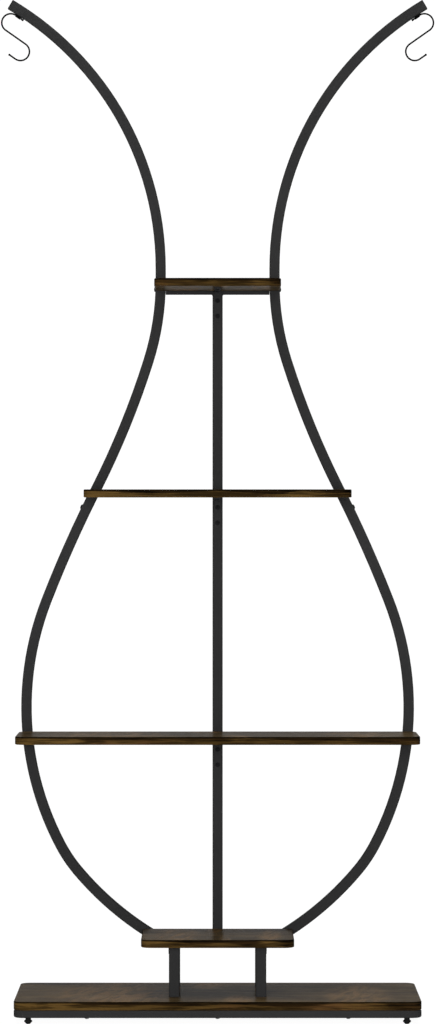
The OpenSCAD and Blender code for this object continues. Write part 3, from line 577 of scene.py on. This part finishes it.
# %% Assign the materials
WOOD_BUMP, WOOD_RELIEF = 0.25, 0.4 * MM
WOOD_SPECULAR, LACQUER_ROUGH = 0.01, 0.18
BOARD_SHIFTS = {"base_board": 0.0, "shelf_1": 4.4, "shelf_2": 7.1, "shelf_3": 1.7, "shelf_4": 5.2}
BOARD_GLOWS = {"base_board": 1.0, "shelf_1": 0.68, "shelf_2": 1.05, "shelf_3": 0.92, "shelf_4": 1.0}


def set_material(obj, material):
    obj.data.materials.clear()
    obj.data.materials.append(material)


def board_material(name):
    board_low, board_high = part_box(name)
    material, wood_box = principled(
        "wood_" + name,
        wood_group,
        WOOD_BUMP,
        WOOD_RELIEF,
        Specular_IOR_Level=WOOD_SPECULAR,
        Coat_Roughness=LACQUER_ROUGH,
    )
    inputs = {
        "Half Width": (board_high.x - board_low.x) / 2,
        "Middle": (board_high.y + board_low.y) / 2,
        "Half Depth": (board_high.y - board_low.y) / 2,
        "Underside": board_low.z,
        "Thickness": board_high.z - board_low.z,
        "Shift": BOARD_SHIFTS[name],
        "Glow": BOARD_GLOWS[name],
    }
    for key, value in inputs.items():
        wood_box.inputs[key].default_value = value
    return material


for entry in record["subparts"]:
    node = entry["node"]
    if node in BOARDS:
        set_material(frame["nodes"][node], board_material(node))
    else:
        set_material(frame["nodes"][node], slot_materials[entry["material_slot"]])
print("materials on", len(record["subparts"]), "pieces")

# %% [markdown]
# ## Shade the curves
# The CAD pieces come as plain triangles, so a bent tube shows its facets. More triangles would
# hide them at a price. Shading the gentle edges smooth hides them too and changes no vertex,
# and the real edges stay sharp.

# %% Shade curved faces smooth
CAD_SMOOTH = 28


def shade_by_angle(obj, degrees):
    bpy.ops.object.select_all(action="DESELECT")
    obj.select_set(True)
    bpy.context.view_layer.objects.active = obj
    bpy.ops.object.shade_smooth_by_angle(angle=math.radians(degrees))


for piece in frame["nodes"].values():
    shade_by_angle(piece, CAD_SMOOTH)
print("edges under", CAD_SMOOTH, "degrees are smooth")

# %% [markdown]
# ## Levelling studs with real threads
# Under each corner of the base a threaded stud turns in a nut. A thread could be a stack of
# rings, but rings wouldn't climb as the stud turns. So it starts as a small plane that is moved
# point by point into the thread's section, with its root sunk in the shank. A screw modifier
# winds the section up the shank, and its two ends are then filled.

# %% Wind a thread
# An M8 thread rises 1.25 mm a turn, and its root lies 0.61 of that under the crest
THREAD_PITCH = 1.25 * MM
CORE_RADIUS = STUD_RADIUS - 0.61 * THREAD_PITCH
THREAD_ROOT = CORE_RADIUS - 0.05 * MM
# The section's points: how far out, and how far up in shares of the pitch
THREAD_SECTION = [
    (THREAD_ROOT, 0.03),
    (STUD_RADIUS, 0.44),
    (STUD_RADIUS, 0.56),
    (THREAD_ROOT, 0.97),
]
THREAD_STEPS = 40
THREAD_MERGE = 0.01 * MM


def wind_thread(bottom, top):
    bpy.ops.object.select_all(action="DESELECT")
    bpy.ops.mesh.primitive_plane_add(size=MM, location=(0, 0, 0))
    thread = bpy.context.object
    around = thread.data.polygons[0].vertices
    for index, (reach, share) in zip(around, THREAD_SECTION):
        thread.data.vertices[index].co = (reach, 0, bottom + share * THREAD_PITCH)
    bpy.ops.object.mode_set(mode="EDIT")
    bpy.ops.mesh.select_all(action="SELECT")
    bpy.ops.mesh.delete(type="ONLY_FACE")
    bpy.ops.object.mode_set(mode="OBJECT")
    bpy.ops.object.modifier_add(type="SCREW")
    winding = thread.modifiers["Screw"]
    winding.screw_offset = THREAD_PITCH
    winding.iterations = int((top - bottom) / THREAD_PITCH) - 1
    winding.steps = THREAD_STEPS
    winding.render_steps = THREAD_STEPS
    winding.use_merge_vertices = True
    winding.merge_threshold = THREAD_MERGE
    bpy.ops.object.modifier_apply(modifier="Screw")
    bpy.ops.object.mode_set(mode="EDIT")
    bpy.ops.mesh.select_all(action="SELECT")
    bpy.ops.mesh.fill_holes(sides=len(THREAD_SECTION))
    bpy.ops.mesh.select_all(action="SELECT")
    bpy.ops.mesh.normals_make_consistent(inside=False)
    bpy.ops.object.mode_set(mode="OBJECT")
    return thread


print("a thread rises", THREAD_PITCH / MM, "mm a turn")

# %% [markdown]
# A stud is a ball, on which the pad snaps, a short neck and a threaded shank. It could be turned
# from one outline, but the thread is no body of revolution. So a plain shank, a ball and a neck
# are joined to the thread, each sunk a little into the next. The whole stays inside the CAD
# stud's diameter.

# %% Model one stud
SHANK_RADIUS = CORE_RADIUS + 0.02 * MM
BALL_RADIUS = 0.88 * STUD_RADIUS
NECK_RADIUS = 0.6 * STUD_RADIUS
NECK_LENGTH = 0.5 * MM
NECK_OVERLAP = MM
BALL_SEGMENTS, BALL_RINGS = 32, 20
STUD_SMOOTH = 40


def upright_cylinder(radius, bottom, top, sides):
    bpy.ops.mesh.primitive_cylinder_add(
        vertices=sides, radius=radius, depth=top - bottom, location=(0, 0, (top + bottom) / 2)
    )
    return bpy.context.object


def model_stud(bottom, top):
    ball_middle = bottom + BALL_RADIUS
    shank_bottom = bottom + 2 * BALL_RADIUS + NECK_LENGTH
    thread = wind_thread(shank_bottom, top)
    shank = upright_cylinder(SHANK_RADIUS, shank_bottom, top, THREAD_STEPS)
    bpy.ops.mesh.primitive_uv_sphere_add(
        segments=BALL_SEGMENTS,
        ring_count=BALL_RINGS,
        radius=BALL_RADIUS,
        location=(0, 0, ball_middle),
    )
    ball = bpy.context.object
    neck = upright_cylinder(NECK_RADIUS, ball_middle, shank_bottom + NECK_OVERLAP, BALL_SEGMENTS)
    bpy.ops.object.select_all(action="DESELECT")
    for piece in (shank, ball, neck, thread):
        piece.select_set(True)
    bpy.context.view_layer.objects.active = thread
    bpy.ops.object.join()
    shade_by_angle(thread, STUD_SMOOTH)
    return thread


stud_shape = model_stud(stud_low.z, stud_high.z)
print("a stud has", len(stud_shape.data.polygons), "faces")

# %% [markdown]
# The four studs are alike, so the model is copied. Linked copies would share one mesh, but each
# piece needs its place in a mesh of its own, because the export puts every object at the origin.
# Each stud rides the body of the CAD stud that it replaces, so it turns with the joint.

# %% Copy the stud to the four feet
CORNERS = ("front_left", "front_right", "rear_left", "rear_right")


def middle_of(part_low, part_high):
    return (part_low + part_high) / 2


def place_copy(shape, name, place):
    piece = shape.copy()
    piece.data = shape.data.copy()
    piece.data.transform(Matrix.Translation(place))
    piece.name = name
    bpy.context.collection.objects.link(piece)
    return piece


for corner in CORNERS:
    node = "foot_stud_" + corner
    node_low, node_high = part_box(node)
    middle = middle_of(node_low, node_high)
    stud = place_copy(stud_shape, "stud_" + corner, (middle.x, middle.y, 0))
    set_material(stud, slot_materials["zinc_steel"])
    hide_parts(node)
    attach(stud, node)
bpy.data.meshes.remove(stud_shape.data)
print("studs:", len(CORNERS))

# %% [markdown]
# ## Weld beads
# Where two tubes are welded, a rippled bead runs round the joint. It could be a round profile
# swept along a square path, but that gives no ripples. So a bead starts as a torus. Each ring of
# its vertices is pushed out to the tube's square outline, its thickness is rippled, and a side
# that lies against a board or a bracket is ground flat.

# %% Model a bead
BEAD_RINGS, BEAD_SIDES = 176, 10
RIPPLE_DEPTH = 0.16
# How far out the path goes at a corner, where 1 is the tube's own sharp corner
CORNER_REACH = 0.86
BEAD_SMOOTH = 50
# The bead's radius and its number of ripples, on the frame's tube and on the thinner bars
TUBE_BEAD = (1.1 * MM, 44)
BAR_BEAD = (0.9 * MM, 34)


def shape_bead(axis, width, bead, ripples, flat=None):
    bpy.ops.object.select_all(action="DESELECT")
    bpy.ops.mesh.primitive_torus_add(
        major_segments=BEAD_RINGS,
        minor_segments=BEAD_SIDES,
        major_radius=width / 2,
        minor_radius=bead,
        location=(0, 0, 0),
    )
    shape = bpy.context.object
    for vertex in shape.data.vertices:
        x, y, z = vertex.co
        around = math.atan2(y, x)
        path = Vector((math.cos(around), math.sin(around), 0)) * width / 2
        off = Vector((x, y, z)) - path
        off *= 1 + RIPPLE_DEPTH * math.cos(ripples * around)
        square = 1 / max(abs(math.cos(around)), abs(math.sin(around)))
        path *= min(square, CORNER_REACH * math.sqrt(2))
        place = path + off
        if axis == "Y":
            place = Vector((place.x, place.z, place.y))
        if flat:
            index, sign, reach = flat
            place[index] = sign * min(sign * place[index], reach)
        vertex.co = place
    if axis == "Y":
        shape.data.flip_normals()
    shade_by_angle(shape, BEAD_SMOOTH)
    return shape


print("a bead has", BEAD_RINGS * BEAD_SIDES, "faces")

# %% [markdown]
# The frame has four kinds of bead: at the ends of the side rails, on top of the rear legs, at
# the ends of the base's cross bars and on top of the post. Each kind is modelled once at the
# origin and copied to its joints. A bead's middle lies a little inside the end of the tube.

# %% Lay the beads on the joints
END_INSET = 0.4 * MM
LEG_INSET = 0.3 * MM
# How far under the tube's face a bead is ground
GROUND = 0.1 * MM


def flat_top(part_low, part_high):
    return 2, 1, (part_high.z - part_low.z) / 2 - GROUND


def lay_bead(shape, name, place):
    ring = place_copy(shape, name, place)
    set_material(ring, slot_materials["frame_steel"])
    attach(ring, "stand")
    return ring


def lay_end_beads(shape, kind, side, x, part_low, part_high):
    z = middle_of(part_low, part_high).z
    ends = (("front", part_low.y + END_INSET), ("back", part_high.y - END_INSET))
    return [lay_bead(shape, f"weld_{kind}_{end}_{side}", (x, y, z)) for end, y in ends]


rail_low, rail_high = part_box("side_rail_right")
leg_low, leg_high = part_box("rear_leg_right")
rail_x = middle_of(rail_low, rail_high).x
bar_x = middle_of(bar_low, bar_high).x
leg_y = middle_of(leg_low, leg_high).y
leg_z = leg_high.z - LEG_INSET
post_y = middle_of(post_low, post_high).y
flat_front = (1, -1, (post_high.y - post_low.y) / 2 - GROUND)

rail_bead = shape_bead("Y", TUBE, *TUBE_BEAD, flat_top(rail_low, rail_high))
leg_bead = shape_bead("Z", TUBE, *TUBE_BEAD)
bar_bead = shape_bead("Y", BAR, *BAR_BEAD, flat_top(bar_low, bar_high))
post_bead = shape_bead("Z", TUBE, *TUBE_BEAD, flat_front)
beads = []
for side, sign in (("left", -1), ("right", 1)):
    beads += lay_end_beads(rail_bead, "rail", side, sign * rail_x, rail_low, rail_high)
    beads.append(lay_bead(leg_bead, f"weld_rear_leg_{side}", (sign * rail_x, leg_y, leg_z)))
    beads += lay_end_beads(bar_bead, "bar", side, sign * bar_x, bar_low, bar_high)
beads.append(lay_bead(post_bead, "weld_post_top", (0, post_y, post_high.z - END_INSET)))
for shape in (rail_bead, leg_bead, bar_bead, post_bead):
    bpy.data.meshes.remove(shape.data)
print("weld beads:", len(beads))

# %% [markdown]
# ## Studio
# The photograph has a plain white ground with hardly a shadow. A white plane alone would show a
# horizon and turn grey in the distance. So a sweep runs from the floor up behind the stand, and
# for the camera it shines almost white by itself. Other rays meet a mid grey, so that it throws
# less light back on the stand. Seen from behind, the sweep is clear, so that the stand can be
# viewed from every side.

# %% Make the pale material
SEEN_GREY, UNSEEN_GREY = (0.14, 0.14, 0.14), (0.50, 0.50, 0.50)
SWEEP_ROUGH = 0.9
SWEEP_SHINE = 0.96
WHITE = (1, 1, 1, 1)


def make_pale_material():
    material, _ = principled("pale_sweep", Roughness=SWEEP_ROUGH, Specular_IOR_Level=0.0)
    tree = material.node_tree
    shader = tree.nodes["Principled BSDF"]
    seen = add(tree, "ShaderNodeLightPath").outputs["Is Camera Ray"]
    shine = math_node(tree, "MULTIPLY", seen, SWEEP_SHINE)
    tree.links.new(mix_color(tree, seen, UNSEEN_GREY, SEEN_GREY), shader.inputs["Base Color"])
    shader.inputs["Emission Color"].default_value = WHITE
    tree.links.new(shine, shader.inputs["Emission Strength"])
    behind = add(tree, "ShaderNodeNewGeometry").outputs["Backfacing"]
    see_through = math_node(tree, "MULTIPLY", behind, seen)
    clear = add(tree, "ShaderNodeBsdfTransparent").outputs["BSDF"]
    both = add(tree, "ShaderNodeMixShader", {0: see_through, 1: shader.outputs["BSDF"], 2: clear})
    tree.links.new(both.outputs[0], tree.nodes["Material Output"].inputs["Surface"])
    return material


pale_material = make_pale_material()
print("pale material has", len(pale_material.node_tree.nodes), "nodes")

# %% [markdown]
# The sweep is a strip that is flat under the stand, bends up behind it and ends in a wall. It
# could be extruded edge by edge. It starts as a grid instead, whose rows are moved onto that
# profile, because each row of the bend then lies exactly on its radius. The wide floor lies
# 2 mm under it, so that the two never share a plane.

# %% Build the sweep and the floor
SWEEP_WIDTH = 24.0
SWEEP_FRONT, SWEEP_BACK, SWEEP_TOP = -12.0, 5.0, 9.0
BEND_RADIUS, BEND_STEPS = 3.0, 24
FLOOR_SIZE = 120
FLOOR_Z = -2 * MM


def sweep_profile():
    bend_start = SWEEP_BACK - BEND_RADIUS
    profile = [(SWEEP_FRONT, 0.0), (bend_start, 0.0)]
    for i in range(1, BEND_STEPS + 1):
        turn = math.radians(90 * i / BEND_STEPS)
        y = bend_start + BEND_RADIUS * math.sin(turn)
        z = BEND_RADIUS - BEND_RADIUS * math.cos(turn)
        profile.append((y, z))
    return profile + [(SWEEP_BACK, SWEEP_TOP)]


def make_sweep():
    profile = sweep_profile()
    rows = len(profile) - 1
    bpy.ops.object.select_all(action="DESELECT")
    bpy.ops.mesh.primitive_grid_add(x_subdivisions=1, y_subdivisions=rows, size=1)
    strip = bpy.context.object
    strip.name = "sweep"
    for vertex in strip.data.vertices:
        y, z = profile[round((vertex.co.y + 0.5) * rows)]
        vertex.co = (math.copysign(SWEEP_WIDTH / 2, vertex.co.x), y, z)
    bpy.ops.object.shade_smooth()
    return strip


sweep = make_sweep()
set_material(sweep, pale_material)

bpy.ops.mesh.primitive_plane_add(size=FLOOR_SIZE, location=(0, 0, FLOOR_Z))
floor = bpy.context.object
floor.name = "floor"
set_material(floor, pale_material)
print("sweep of", len(sweep.data.polygons), "faces")

# %% [markdown]
# ## Light
# Product pictures are lit by large soft boxes. Two stand in front, one high on the left and one
# low on the right, and a third hangs overhead. One light at the camera would be simpler, but it
# would hardly reach the tops of the boards. The front lights are hidden from glossy rays, which
# keeps their mirror image off the lacquered boards.

# %% Set the lights
# Name, place, aim, size and watts of each light, and whether glossy rays see it
LIGHTS = [
    ("key", (-1.1, -8.8, 1.7), (0, 0, 0.9), (2.4, 2.4), 290, False),
    ("fill", (1.2, -8.8, 0.5), (0, 0, 0.9), (2.4, 2.4), 325, False),
    ("top", (0, -1.2, 7.5), (0, 0, 0.8), (5.0, 4.0), 265, True),
]

for name, place, aim, size, watts, glossy in LIGHTS:
    bpy.ops.object.light_add(type="AREA", location=place)
    light = bpy.context.object
    light.name = name
    light.data.shape = "RECTANGLE"
    light.data.size, light.data.size_y = size
    light.data.energy = watts
    light.rotation_euler = (Vector(aim) - Vector(place)).to_track_quat("-Z", "Y").to_euler()
    light.visible_glossy = glossy
print("lights:", ", ".join(light[0] for light in LIGHTS))

# %% [markdown]
# Outside the sweep the camera sees the world. It is white for the camera and gives the stand
# only a little light, so that the dark tubes keep their shading. The plain view transform shows
# colours as they are, as a white product picture needs.

# %% Set the world
SKY_SEEN, SKY_LIGHT = 1.0, 0.12

world = bpy.data.worlds.new("soft_white")
bpy.context.scene.world = world
world.use_nodes = True
world_tree = world.node_tree
sky = world_tree.nodes["Background"]
sky.inputs["Color"].default_value = WHITE
sky_seen = add(world_tree, "ShaderNodeLightPath").outputs["Is Camera Ray"]
strength = math_node(world_tree, "MULTIPLY_ADD", sky_seen, SKY_SEEN - SKY_LIGHT, SKY_LIGHT)
world_tree.links.new(strength, sky.inputs["Strength"])
bpy.context.scene.view_settings.view_transform = "Standard"
print("world", world.name)
